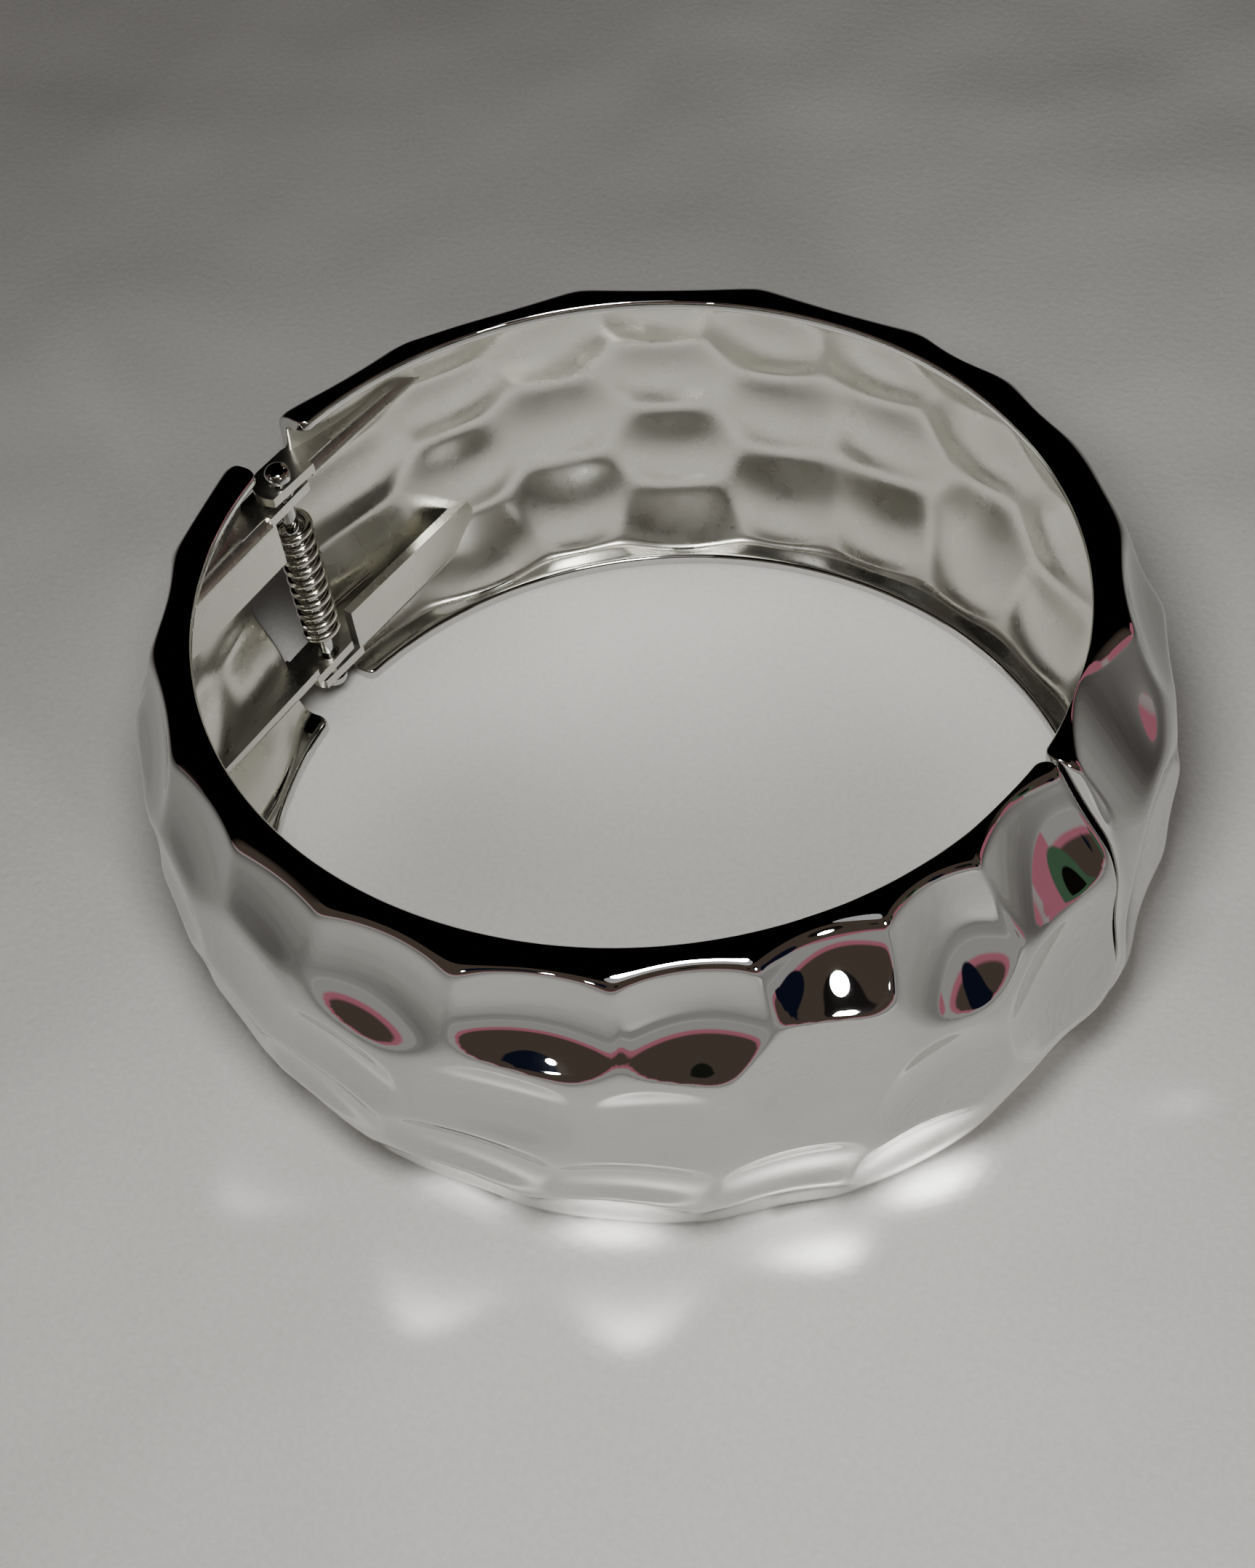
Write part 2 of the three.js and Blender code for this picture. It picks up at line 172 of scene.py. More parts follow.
# Mesh fineness of the shells
RING_STEP = 0.5  # degrees
OUTER_ROWS = 84
INNER_ROWS = 72
RIM_ROWS = 6
FILLET_ROWS = 6
LIP_ROWS = 3

# Largest share of the rim's width that a rounding takes
ROLL_SHARE = 0.45
LIP_SHARE = 0.3

# ---- the band's form ----------------------------------------------------------------------

MEAN_RADIUS = (INNER_LENGTH + INNER_WIDTH) / 4 + RIM_WIDTH + BARREL_BULGE


def arc_between(turn_a, turn_b):
    """Signed distance between two directions, along the band's outside."""
    difference = (turn_a - turn_b + 180) % 360 - 180
    return np.radians(difference) * MEAN_RADIUS


def degrees_along(length):
    return math.degrees(length / MEAN_RADIUS)


def stack_half_width(index):
    """Half width of a stack from the distances to the stacks on both sides of it."""
    turn = STACKS[index][0]
    before = STACKS[index - 1][0]
    after = STACKS[(index + 1) % len(STACKS)][0]
    return DIMPLE_WIDTH * abs(arc_between(after, turn) - arc_between(before, turn)) / 2


def chart_dimples():
    """Turn, height, half width, half height and depth of every dimple."""
    dimples = []
    for index, (turn, lean, share, *heights) in enumerate(STACKS):
        half_width = stack_half_width(index)
        stack = [height * MM for height in heights if height > 0]
        for place, height in enumerate(stack):
            near = [abs(height - other) for other in stack[max(place - 1, 0):place + 2]]
            half_height = DIMPLE_TALLNESS * sum(near) / (len(near) - 1)
            size = math.sqrt(half_width * half_height)
            depth = DIMPLE_DEPTH * share * ROW_DEPTHS[place] * size / DIMPLE_SIZE
            leaned = turn + lean * (stack[0] - height) / MM
            dimples.append((leaned, height, half_width, half_height, depth))
    for turn, half_width, depth in RIM_DENTS:
        dimples.append((turn, RIM_DENT_HEIGHT, half_width * MM, RIM_DENT_REACH, depth * MM))
    return dimples


DIMPLES = chart_dimples()


def hammering(turn, height, softness):
    """Depth of overlapping round dimples with soft ridges between them."""
    total = np.ones(np.broadcast(turn, height).shape)
    for dimple_turn, dimple_height, half_width, half_height, depth in DIMPLES:
        across = arc_between(turn, dimple_turn) / half_width
        along = (height - dimple_height) / half_height
        cap = depth * (1 - across**2 - along**2)
        total += np.exp(np.maximum(cap / softness, -30))
    return np.log(total) * softness


def outer_offset(turn, height, softness=OUTER_SOFTNESS):
    """Distance of the outer surface from the rim's inner edge."""
    level = np.abs(2 * height / HEIGHT - 1)
    barrel = BARREL_BULGE * (1 - level**BARREL_POWER)
    return RIM_WIDTH + barrel - hammering(turn, height, softness)


def band_point(turn, offset, height):
    """Points at a distance outside the rim's inner edge, which is an ellipse."""
    a, b = INNER_LENGTH / 2, INNER_WIDTH / 2
    angle = np.radians(turn)
    normal = np.stack([b * np.cos(angle), a * np.sin(angle)])
    normal = normal / np.hypot(*normal)
    x = a * np.cos(angle) + normal[0] * offset
    y = b * np.sin(angle) + normal[1] * offset
    return np.stack(np.broadcast_arrays(x, y, height), axis=-1)


def turn_at_side(side, y, offset, at_hinge):
    """The turn at which the rim's inner edge, moved out by offset, stands y from the X axis."""
    small = math.degrees(math.asin(y / (INNER_WIDTH / 2 + offset)))
    return side * (180 - small) if at_hinge else side * small


# ---- meshes -------------------------------------------------------------------------------


def add_object(name, mesh):
    piece = bpy.data.objects.new(name, mesh)
    bpy.context.scene.collection.objects.link(piece)
    return piece


def mesh_from(name, points, faces):
    mesh = bpy.data.meshes.new(name)
    mesh.from_pydata([tuple(point) for point in points], [], faces)
    return mesh


def smooth(mesh, sharp_above=40):
    """Smooth shading with hard edges where faces meet at more than an angle in degrees."""
    mesh.shade_smooth()
    mesh.set_sharp_from_angle(angle=math.radians(sharp_above))


def tidy(mesh, merge=1e-7):
    """Merges doubled points, drops faces without area and points all faces out."""
    work = bmesh.new()
    work.from_mesh(mesh)
    bmesh.ops.remove_doubles(work, verts=work.verts, dist=merge)
    bmesh.ops.dissolve_degenerate(work, edges=work.edges, dist=merge)
    bmesh.ops.recalc_face_normals(work, faces=work.faces)
    work.to_mesh(mesh)
    work.free()


def loft(name, sections, closed_path=False):
    """A tube through sections of equal length, each a closed loop, capped unless it closes."""
    rings, count = sections.shape[:2]
    ring, place = np.meshgrid(np.arange(rings if closed_path else rings - 1), np.arange(count), indexing="ij")
    after = (place + 1) % count
    beyond = (ring + 1) % rings
    corners = [ring * count + place, beyond * count + place, beyond * count + after, ring * count + after]
    faces = np.stack(corners, axis=-1).reshape(-1, 4).tolist()
    if not closed_path:
        faces.append(list(range(count)))
        faces.append(list(range((rings - 1) * count, rings * count))[::-1])
    return mesh_from(name, sections.reshape(-1, 3), faces)


def fillet(before, corner, after, count=FILLET_ROWS):
    """A round corner from one point to another, as rows of profile points."""
    share = np.linspace(0, 1, count + 2)[1:-1].reshape(1, -1, 1)
    before, corner, after = (point[:, None, :] for point in (before, corner, after))
    return (1 - share) ** 2 * before + 2 * share * (1 - share) * corner + share**2 * after


# ---- the two half shells ------------------------------------------------------------------


def rounding(distance, radius):
    """How far a rounded edge draws in at a distance from the face that it ends in."""
    rest = np.clip(radius - distance, 0, radius)
    return radius - np.sqrt(radius**2 - rest**2)


def ring_turns(start, stop):
    """Turns of the rings from one end to the other, closer together at both rounded ends."""
    sense = math.copysign(1, stop - start)
    near = degrees_along(END_ROUND) * (1 - np.cos(np.linspace(0, math.pi / 2, 9)))
    first, last = start + sense * near[-1], stop - sense * near[-1]
    count = round(abs(last - first) / RING_STEP)
    middle = np.linspace(first, last, count + 1)
    return np.concatenate([start + sense * near[:-1], middle, (stop - sense * near[:-1])[::-1]])


def profile_points(offset, height):
    return np.stack(np.broadcast_arrays(offset, height), axis=-1)


def shell_profile(turn, inset, plugged):
    """Profile loops, as offset and height, of the shell at each turn: a channel facing the wrist.

    Where plugged is true the channel is filled up to its mouth."""
    turn, inset = turn[:, None], inset[:, None]
    draw = OUTER_ROUND_SHARE * inset
    top, low_top = HEIGHT, HEIGHT - RIM_THICKNESS

    def outside(height):
        return outer_offset(turn, height) - draw

    def inside(height):
        wall = outer_offset(turn, height, INNER_SOFTNESS) - WALL
        return np.where(plugged[:, None], inset, wall)

    def corner(offset, height):
        return profile_points(offset, height)[:, 0]

    outer_heights = np.linspace(OUTER_FILLET, top - OUTER_FILLET, OUTER_ROWS)
    inner_heights = np.linspace(low_top - CORNER_FILLET, RIM_THICKNESS + CORNER_FILLET, INNER_ROWS)
    wall = profile_points(outside(outer_heights), outer_heights)
    lining = profile_points(inside(inner_heights), inner_heights)
    rows = []
    for low in (True, False):
        face, under = (0.0, RIM_THICKNESS) if low else (top, low_top)
        away = 1 if low else -1
        edge = outside(np.array([face]))
        reach = inside(np.array([under]))
        roll_start = edge - np.minimum(OUTER_FILLET, ROLL_SHARE * (edge - inset))
        deep = inset + np.minimum(LIP_FILLET, LIP_SHARE * (edge - inset))
        shallow = inset + np.minimum(LIP_FILLET, LIP_SHARE * (reach - inset))
        flat = profile_points(np.linspace(0, 1, RIM_ROWS) * (roll_start - deep) + deep,
                              np.full(RIM_ROWS, face))
        wall_end = wall[:, 0] if low else wall[:, -1]
        roll = fillet(flat[:, -1], corner(edge, face), wall_end)
        lip_face = corner(inset, face + away * LIP_FILLET)
        lip_under = corner(inset, under - away * LIP_FILLET)
        under_edge = corner(shallow, under)
        inner_far = reach - np.minimum(CORNER_FILLET, ROLL_SHARE * (reach - inset))
        ledge = profile_points(np.linspace(0, 1, RIM_ROWS) * (inner_far - shallow) + shallow,
                               np.full(RIM_ROWS, under))
        bend = fillet(ledge[:, -1], corner(reach, under), lining[:, -1] if low else lining[:, 0])
        lip_roll = fillet(lip_face, corner(inset, face), flat[:, 0], LIP_ROWS)
        lip_turn = fillet(under_edge, corner(inset, under), lip_under, LIP_ROWS)
        rows.append([bend[:, ::-1], ledge[:, ::-1], lip_turn, lip_under[:, None], lip_face[:, None],
                     lip_roll, flat, roll])
    lower, upper = rows
    return np.concatenate(
        lower + [wall] + [part[:, ::-1] for part in reversed(upper)] + [lining], axis=1)


def shrink(profile, amount):
    """Moves each profile loop inwards by an amount of its own."""
    along = np.roll(profile, -1, axis=1) - np.roll(profile, 1, axis=1)
    length = np.maximum(np.hypot(along[..., 0], along[..., 1]), 1e-9)[..., None]
    outward = np.stack([along[..., 1], -along[..., 0]], axis=-1) / length
    return profile - outward * amount[:, None, None]


def shell_mesh(name, side):
    opening = turn_at_side(side, SEAM_GAP / 2, RIM_WIDTH, False)
    hinge = turn_at_side(side, HINGE_GAP / 2, RIM_WIDTH, True)
    plate_end = opening + side * degrees_along(END_PLATE)
    turns = ring_turns(opening, hinge)
    turns = np.sort(np.concatenate([turns, [plate_end, plate_end + side * 0.02]]))
    distance = np.minimum(np.abs(arc_between(turns, opening)), np.abs(arc_between(turns, hinge)))
    plugged = np.abs(turns) <= abs(plate_end) + 1e-9
    profile = shell_profile(turns, rounding(distance, END_ROUND), plugged)
    profile = shrink(profile, rounding(distance, END_EDGE))
    sections = band_point(turns[:, None], profile[..., 0], profile[..., 1])
    mesh = loft(name, sections)
    tidy(mesh)
    smooth(mesh)
    return mesh


def half_shell(name, side, node):
    piece = add_object(name, shell_mesh(name, side))
    piece.data.materials.append(bright_plate())
    piece.data.materials.append(satin_lining())
    assign_lining(piece.data)
    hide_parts(node)
    return piece


def assign_lining(mesh):
    """Gives the faces inside the channel the second material."""
    centres = np.zeros(len(mesh.polygons) * 3)
    mesh.polygons.foreach_get("center", centres)
    normals = np.zeros(len(mesh.polygons) * 3)
    mesh.polygons.foreach_get("normal", normals)
    x, y, z = centres.reshape(-1, 3).T
    inward = (normals.reshape(-1, 3)[:, :2] * np.stack([x, y], axis=1)).sum(axis=1) < 0
    stretch = np.hypot(x / INNER_LENGTH, y / INNER_WIDTH) * 2
    within = (z > RIM_THICKNESS * 1.01) & (z < HEIGHT - RIM_THICKNESS * 1.01)
    lining = inward & within & (stretch > 1.03)
    mesh.polygons.foreach_set("material_index", lining.astype(np.int32))


# ---- materials ----------------------------------------------------------------------------

PLATE_COLOUR = (0.60, 0.597, 0.582)
PLATE_ROUGHNESS = (0.012, 0.035)
LINING_COLOUR = (0.63, 0.625, 0.57)
LINING_ROUGHNESS = (0.23, 0.34)
SPRING_COLOUR = (0.62, 0.60, 0.54)
SPRING_ROUGHNESS = (0.1, 0.2)


def new_material(name):
    material = bpy.data.materials.get(name) or bpy.data.materials.new(name)
    material.use_nodes = True
    tree = material.node_tree
    return material, tree, tree.nodes["Principled BSDF"]


def add_node(tree, kind, **settings):
    made = tree.nodes.new(kind)
    for key, value in settings.items():
        if key in made.inputs:
            made.inputs[key].default_value = value
        else:
            setattr(made, key, value)
    return made


def metal(name, colour, roughness, noise_scale, detail=3.0, noise_roughness=0.5, lows=0.3):
    """A bare metal whose roughness wanders between two values with a noise."""
    material, tree, shader = new_material(name)
    shader.inputs["Base Color"].default_value = (*colour, 1)
    shader.inputs["Metallic"].default_value = 1
    cloud = object_noise(tree, noise_scale, detail, noise_roughness)
    tree.links.new(mapped(tree, cloud.outputs["Fac"], *roughness, lows, 0.7), shader.inputs["Roughness"])
    return material, tree, shader


def bump(tree, source, strength, distance, under=None):
    """A bump from a noise, over the normals of another one if that is given."""
    node = add_node(tree, "ShaderNodeBump", Strength=strength, Distance=distance)
    tree.links.new(source.outputs["Fac"], node.inputs["Height"])
    if under:
        tree.links.new(under, node.inputs["Normal"])
    return node.outputs["Normal"]


def object_noise(tree, scale, detail=3.0, roughness=0.5):
    place = add_node(tree, "ShaderNodeTexCoord")
    noise = add_node(tree, "ShaderNodeTexNoise", Scale=scale, Detail=detail, Roughness=roughness)
    tree.links.new(place.outputs["Object"], noise.inputs["Vector"])
    return noise


def mapped(tree, source, low, high, from_low=0.0, from_high=1.0, clamp=True):
    """A value moved from one range to another, and held within it unless told otherwise."""
    spread = add_node(tree, "ShaderNodeMapRange", clamp=clamp)
    for key, value in (("From Min", from_low), ("From Max", from_high), ("To Min", low), ("To Max", high)):
        spread.inputs[key].default_value = value
    tree.links.new(source, spread.inputs["Value"])
    return spread.outputs["Result"]


@cache
def bright_plate():
    """Bright nickel-chrome plate: nearly a mirror, with faint handling marks."""
    return metal("bright_plate", PLATE_COLOUR, PLATE_ROUGHNESS, 220, 4, lows=0.35)[0]


@cache
def satin_lining():
    """The inside, plated over the unpolished casting: satin, with a sandy grain."""
    material, tree, shader = metal("satin_lining", LINING_COLOUR, LINING_ROUGHNESS, 260, 4, 0.6)
    uneven = bump(tree, object_noise(tree, 420, 3), 0.3, 0.06 * MM)
    sand = bump(tree, object_noise(tree, 2600, 3, 0.6), 0.4, 0.02 * MM, uneven)
    tree.links.new(sand, shader.inputs["Normal"])
    return material


@cache
def spring_steel():
    """Bright drawn wire."""
    return metal("spring_steel", SPRING_COLOUR, SPRING_ROUGHNESS, 900)[0]


# ---- hinge brackets -----------------------------------------------------------------------


def prism(name, outline, bottom, top):
    """A closed solid over an outline of x, y points."""
    count = len(outline)
    points = [(x, y, z) for z in (bottom, top) for x, y in outline]
    faces = [list(range(count))[::-1], list(range(count, 2 * count))]
    faces += [[i, (i + 1) % count, (i + 1) % count + count, i + count] for i in range(count)]
    mesh = mesh_from(name, points, faces)
    tidy(mesh)
    return mesh


def arc(centre, radius, start, stop, count):
    """Points on an arc between two angles in radians."""
    return [(centre[0] + radius * math.cos(angle), centre[1] + radius * math.sin(angle))
            for angle in np.linspace(start, stop, count)]


def combine(operation, base, tool):
    """Applies a boolean of two closed meshes and returns the new mesh."""
    left, right = add_object("left", base), add_object("right", tool)
    cutter = left.modifiers.new("cut", "BOOLEAN")
    cutter.operation = operation
    cutter.object = right
    cutter.solver = "EXACT"
    bpy.context.view_layer.update()
    made = bpy.data.meshes.new_from_object(left.evaluated_get(bpy.context.evaluated_depsgraph_get()))
    for piece in (left, right):
        bpy.data.objects.remove(piece)
    return made


def wall_core(side):
    """Everything within the middle of the wall near the hinge, to trim the brackets."""
    turns = np.linspace(side * 100, side * 190, 181)
    heights = np.linspace(0, HEIGHT, 40)
    outside = band_point(turns[:, None], outer_offset(turns[:, None], heights) - WALL / 2, heights)
    mouth = band_point(turns[:, None], -INNER_WIDTH / 4, np.array([HEIGHT, 0]))
    mesh = loft("core", np.concatenate([outside, mouth], axis=1))
    tidy(mesh)
    return mesh


def flange_profile(top, depth, down):
    """Section, as x and z, of a plate at height top whose edge folds over by depth."""
    sense = -1 if down else 1
    outer = PIN_X - RIM_WIDTH - BARREL_BULGE
    face, inner = BRACKET_FACE_X, FOLD_RADIUS - SHEET
    centre = (face - FOLD_RADIUS, top + sense * FOLD_RADIUS)
    fold = arc(centre, FOLD_RADIUS, -sense * math.pi / 2, 0, 9)
    under = arc(centre, inner, 0, -sense * math.pi / 2, 5)
    return [(outer, top), *fold, (face, top + sense * depth), (face - SHEET, top + sense * depth),
            *under, (outer, top + sense * SHEET)]


def flange(side, top, depth, down):
    """A folded plate along the chord from near the pin to the wall."""
    far = side * INNER_WIDTH * 0.4
    section = flange_profile(top, depth, down)
    ends = [side * WEB_START, far]
    points = [(x, y, z) for y in ends for x, z in section]
    count = len(section)
    faces = [list(range(count)), list(range(count, 2 * count))[::-1]]
    faces += [[i, (i + 1) % count, (i + 1) % count + count, i + count] for i in range(count)]
    mesh = mesh_from("flange", points, faces)
    tidy(mesh)
    return mesh


def leaned(mesh, side):
    """The back bracket stands a little askew about the pin; the front one is square."""
    if side > 0:
        pin = Matrix.Translation((PIN_X, 0, 0))
        mesh.transform(pin @ Matrix.Rotation(math.radians(-BACK_TILT), 4, "Z") @ pin.inverted())
    return mesh


def lug_outline(side):
    """The plate's outline round the pin, up to where the fold starts."""
    start = side * (WEB_START + RUNNING_GAP)
    wall_end = side * (HINGE_GAP / 2 + RUNNING_GAP)
    lug_angle = math.acos((BRACKET_FACE_X - PIN_X) / LUG_RADIUS)
    outline = [(BRACKET_FACE_X - FOLD_RADIUS / 2, start * 2), (BRACKET_BACK_X, start * 2),
               (BRACKET_BACK_X, wall_end), (PIN_X - LUG_RADIUS, 0)]
    outline += arc((PIN_X, 0), LUG_RADIUS, -side * math.pi, -side * lug_angle, 25)
    outline += [(BRACKET_FACE_X, start), (BRACKET_FACE_X - FOLD_RADIUS / 2, start)]
    return outline


def bracket_mesh(name, side, sizes):
    core = wall_core(side)
    hole = prism("hole", arc((PIN_X, 0), PIN_HOLE_RADIUS, 0, 2 * math.pi, 33)[:-1], 0, HEIGHT)
    whole = None
    for top, depth, down in ((sizes["top"], sizes["upper_web"], True),
                             (sizes["bottom"], sizes["lower_web"], False)):
        plate_low = top - SHEET if down else top
        lug = prism("lug", lug_outline(side), plate_low, plate_low + SHEET)
        part = combine("UNION", lug, flange(side, top, max(depth, FOLD_RADIUS * 1.05), down))
        whole = part if whole is None else combine("UNION", whole, part)
    whole = combine("INTERSECT", leaned(whole, side), core)
    whole = combine("DIFFERENCE", whole, hole)
    whole.name = name
    tidy(whole, 1e-6)
    smooth(whole, 30)
    return whole


def bracket(name, side, sizes):
    piece = add_object(name, bracket_mesh(name, side, sizes))
    piece.data.materials.clear()
    piece.data.materials.append(satin_lining())
    edge = piece.modifiers.new("edges", "BEVEL")
    edge.width = BRACKET_EDGE
    edge.segments = 2
    edge.limit_method = "ANGLE"
    edge.angle_limit = math.radians(50)
    return piece


# ---- pin and spring -----------------------------------------------------------------------


def turned(name, outline, steps=40):
    """A solid of revolution about the hinge axis, from radius and height pairs."""
    angles = np.linspace(0, 2 * math.pi, steps, endpoint=False)
    sections = [[(PIN_X + radius * math.cos(angle), radius * math.sin(angle), height)
                 for radius, height in outline] for angle in angles]
    mesh = loft(name, np.array(sections), closed_path=True)
    tidy(mesh)
    smooth(mesh)
    return mesh


def pin_mesh():
    low, high = pin_low.z, pin_high.z
    seat_low, seat_high = low + PIN_HEAD_HEIGHT, high - PIN_HEAD_HEIGHT
    dome = [(PIN_HEAD_RADIUS * math.cos(angle) ** 0.8, PIN_HEAD_HEIGHT * (0.3 + 0.7 * math.sin(angle)))
            for angle in np.linspace(0, math.pi / 2, 9)]
    core = [(0, low)]
    core += [(radius, seat_low - rise) for radius, rise in reversed(dome)]
    core += [(PIN_HEAD_RADIUS, seat_low), (PIN_RADIUS, seat_low)]
    core += [(PIN_RADIUS, seat_high), (PIN_HEAD_RADIUS, seat_high)]
    core += [(radius, seat_high + rise) for radius, rise in dome]
    core += [(0, high)]
    return turned("rivet_pin", core)


def wire_tube(name, path, radius, sides=10):
    """A round wire along points, with flat ends."""
    path = np.array(path)
    along = np.gradient(path, axis=0)
    along /= np.linalg.norm(along, axis=1)[:, None]
    side = np.cross(along, (0, 0, 1.0))
    side /= np.linalg.norm(side, axis=1)[:, None]
    over = np.cross(side, along)
    angle = np.linspace(0, 2 * math.pi, sides, endpoint=False)[None, :, None]
    ring = np.cos(angle) * side[:, None] + np.sin(angle) * over[:, None]
    mesh = loft(name, path[:, None] + radius * ring)
    tidy(mesh)
    smooth(mesh, 60)
    return mesh


def spring_coil():
    """The coil and the leg that bears on the back bracket."""
    steps = np.linspace(0, COIL_TURNS, 32 * COIL_TURNS)
    angle = math.pi + 2 * math.pi * steps
    coil = np.stack([PIN_X + COIL_RADIUS * np.cos(angle), COIL_RADIUS * np.sin(angle),
                     COIL_BOTTOM + (COIL_TOP - COIL_BOTTOM) * steps / COIL_TURNS], axis=1)
    leg = [(PIN_X - COIL_RADIUS + (LEG_END_X - PIN_X + COIL_RADIUS) * share, SPRING_LEG * share, COIL_BOTTOM)
           for share in np.linspace(1, 0.05, 16)]
    return wire_tube("spring_coil", [*leg, *coil], WIRE_RADIUS)


def spring_leg():
    """The leg that bears on the front bracket."""
    leg = [(PIN_X - COIL_RADIUS + (LEG_END_X - PIN_X + COIL_RADIUS) * share, -SPRING_LEG * share, COIL_TOP)
           for share in np.linspace(0, 1, 16)]
    return wire_tube("spring_front_leg", leg, WIRE_RADIUS)


# ---- camera, floor and light --------------------------------------------------------------

CAMERA_PLAN_ANGLE = math.radians(-48.526)
CAMERA_ELEVATION = math.radians(49.327)
CAMERA_ROLL = math.radians(-10.036)
CAMERA_DISTANCE = 207.385 * MM
CAMERA_TARGET = Vector((-6.52, 3.53, 0)) * MM
CAMERA_FOCAL_SHARE = 3823.35 / 2156  # focal length as a share of the image's long side
CAMERA_SENSOR = 36


def towards(plan_angle, elevation):
    """The unit vector at a plan angle and an elevation in radians."""
    flat = math.cos(elevation)
    return Vector((flat * math.cos(plan_angle), flat * math.sin(plan_angle), math.sin(elevation)))


def direction_of(degrees_round, degrees_up):
    return towards(math.radians(degrees_round), math.radians(degrees_up))


def place_camera():
    data = bpy.data.cameras.new("camera")
    camera = bpy.data.objects.new("camera", data)
    bpy.context.scene.collection.objects.link(camera)
    back = towards(CAMERA_PLAN_ANGLE, CAMERA_ELEVATION)
    right = Vector((-math.sin(CAMERA_PLAN_ANGLE), math.cos(CAMERA_PLAN_ANGLE), 0))
    up = back.cross(right)
    cos, sin = math.cos(CAMERA_ROLL), math.sin(CAMERA_ROLL)
    axes = Matrix((cos * right + sin * up, cos * up - sin * right, back)).transposed()
    camera.matrix_world = Matrix.Translation(CAMERA_TARGET + back * CAMERA_DISTANCE) @ axes.to_4x4()
    data.sensor_width = CAMERA_SENSOR
    data.lens = CAMERA_SENSOR * CAMERA_FOCAL_SHARE
    data.clip_start, data.clip_end = 0.01, 10
    bpy.context.scene.camera = camera


FRONT = -55  # the turn that the lamps and the room's middle lie at
KEY_PLACE = direction_of(FRONT, 62) * 0.165
KEY_DISC = 0.045
KEY_POWER = 0.19

FLOOR_HALF = 0.9
FLOOR_MIDWAY = 0.3
FLOOR_GRID_HALF = 0.11  # of the fine grid that carries the painted light
FLOOR_GRID_CELLS = 260
FLOOR_COLOUR = (0.62, 0.615, 0.6)
FLOOR_TINT = 0.05  # the weave is this much lighter and darker
FLOOR_WAVE = 4 * MM
FLOOR_GRAIN = 0.12 * MM

# Painted light: the light that the band would throw on the floor, painted into the floor as a glow
BEAM_TURNS = 3600
BEAM_HEIGHTS = 200
BEAM_REACH = 0.36 * HEIGHT  # the outside throws it from below this height
BEAM_BLUR = 0.9 * MM
POOL_BLUR = 4 * MM  # the satin inside scatters what it throws
PLATE_REFLECTS = 0.7
STREAK_GAIN = 17.0
STREAK_KNEE = 1.2  # beams fainter than this fade, stronger ones stand out
STREAK_TOP = 5.0
POOL_GAIN = 0.9
GRAZING = 0.02  # beams flatter than this are left out

# Painted light standing in for the room's own light on the table, in watts per square metre at distances from
# the band
PAINTED_FRONT_GLOW = {FLOOR_GRID_HALF: 0, FLOOR_MIDWAY: 1.2, FLOOR_HALF: 2.2}
PAINTED_GLOW_BEHIND = 0.4  # how far the painted glow reaches round towards the back


def floor_mesh():
    """A square floor: a fine grid round the bangle with wide strips beyond it."""
    inner = np.linspace(-FLOOR_GRID_HALF, FLOOR_GRID_HALF, FLOOR_GRID_CELLS + 1)
    lines = np.concatenate([[-FLOOR_HALF, -FLOOR_MIDWAY], inner, [FLOOR_MIDWAY, FLOOR_HALF]])
    count = len(lines)
    x, y = np.meshgrid(lines, lines, indexing="ij")
    points = np.stack([x, y, np.zeros_like(x)], axis=-1).reshape(-1, 3)
    row, column = np.meshgrid(np.arange(count - 1), np.arange(count - 1), indexing="ij")
    first = row * count + column
    faces = np.stack([first, first + count, first + count + 1, first + 1], axis=-1).reshape(-1, 4)
    return mesh_from("floor", points, faces.tolist())


